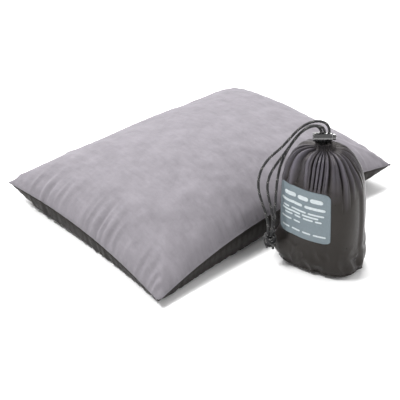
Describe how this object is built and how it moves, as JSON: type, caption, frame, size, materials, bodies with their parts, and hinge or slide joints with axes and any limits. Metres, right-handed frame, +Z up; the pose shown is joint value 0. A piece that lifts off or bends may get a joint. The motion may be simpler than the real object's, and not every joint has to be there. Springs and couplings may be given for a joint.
{
  "type": "camp pillow",
  "caption": "Rectangular filled camp pillow with a soft top and dark underside, and its drawcord stuff sack standing beside it with another pillow packed inside.",
  "frame": {"origin": "middle of the pillow's footprint on the surface it lies on", "axes": "+X along the pillow's long sides, +Y from the sack towards the pillow's far long side, +Z up"},
  "size_m": [0.363, 0.3771, 0.1652],
  "materials": {
    "top_microfibre": "brushed microfibre, soft matt",
    "bottom_nylon": "smooth nylon taffeta, faint sheen",
    "fibre": "loose white polyester fibre",
    "thread": "twisted polyester thread",
    "label_tape": "blank woven tape",
    "sack_nylon": "coated ripstop nylon, soft sheen",
    "print": "flat printed panel, slate blue",
    "cord_braid": "braided polyester with pale flecks",
    "lock_plastic": "moulded acetal, satin",
    "spring_steel": "bright spring wire"
  },
  "bodies": {
    "pillow": {"pillow_top_panel": "top_microfibre", "pillow_bottom_panel": "bottom_nylon", "fibre_fill": "fibre", "seam_thread": "thread", "care_label": "label_tape"},
    "sack": {"sack_body_panel": "sack_nylon", "sack_side_seam": "sack_nylon", "sack_base_seam": "sack_nylon", "sack_base_panel": "sack_nylon", "sack_label": "print", "packed_pillow": "top_microfibre", "hem_casing": "sack_nylon", "drawcord_loop": "cord_braid"},
    "closure": {"lock_barrel": "lock_plastic", "lock_spring": "spring_steel", "cord_leg_1": "cord_braid", "cord_leg_2": "cord_braid", "cord_leg_3": "cord_braid", "cord_knot": "cord_braid"},
    "plunger": {"lock_plunger": "lock_plastic"}
  },
  "joints": [
    {"name": "sack_lift", "type": "slide", "parent": "pillow", "child": "sack", "axis": [0, 0, 1], "range_m": [0, 0.25]},
    {"name": "lock_slide", "type": "slide", "parent": "sack", "child": "closure", "axis": [0, 0, 1], "range_m": [0, 0.008]},
    {"name": "plunger_press", "type": "slide", "parent": "closure", "child": "plunger", "axis": [-0.7443, 0.6678, 0], "range_m": [0, 0.0018], "stiffness_N_per_m": 600, "deforming": ["lock_spring"]}
  ]
}
